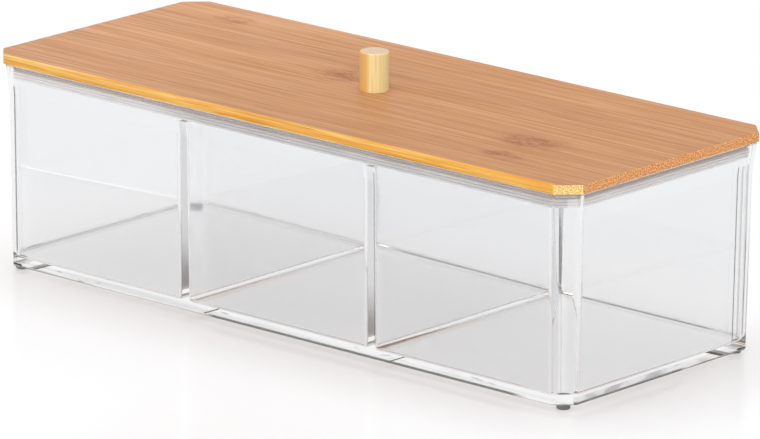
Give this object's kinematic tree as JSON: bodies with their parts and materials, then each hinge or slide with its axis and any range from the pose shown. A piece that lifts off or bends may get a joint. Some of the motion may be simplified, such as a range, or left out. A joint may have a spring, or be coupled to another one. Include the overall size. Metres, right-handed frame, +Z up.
{
  "type": "lidded compartment box",
  "caption": "Long clear moulded box with open compartments side by side, closed by a lift-off bamboo board lid with a soft seal ring and a small round knob.",
  "frame": {"origin": "middle of the box's footprint, on the surface that the feet stand on", "axes": "+X along the length to the right, +Y to the back, +Z up; the front faces -Y"},
  "size_m": [0.25, 0.1, 0.087],
  "materials": {
    "clear_plastic": "clear, moulded, glossy",
    "foot_rubber": "smoky soft rubber",
    "bamboo_board": "satin laminated bamboo",
    "silicone": "milky translucent silicone",
    "bamboo_dowel": "satin bamboo",
    "screw_steel": "zinc plated"
  },
  "bodies": {
    "box": {"tray": "clear_plastic", "foot_front_left": "foot_rubber", "foot_front_right": "foot_rubber", "foot_rear_left": "foot_rubber", "foot_rear_right": "foot_rubber"},
    "lid": {"lid_board": "bamboo_board", "seal_ring": "silicone", "knob": "bamboo_dowel", "knob_screw": "screw_steel"}
  },
  "joints": [
    {"name": "lid_lift", "type": "slide", "parent": "box", "child": "lid", "axis": [0, 0, 1], "range_m": [0, 0.1]}
  ]
}
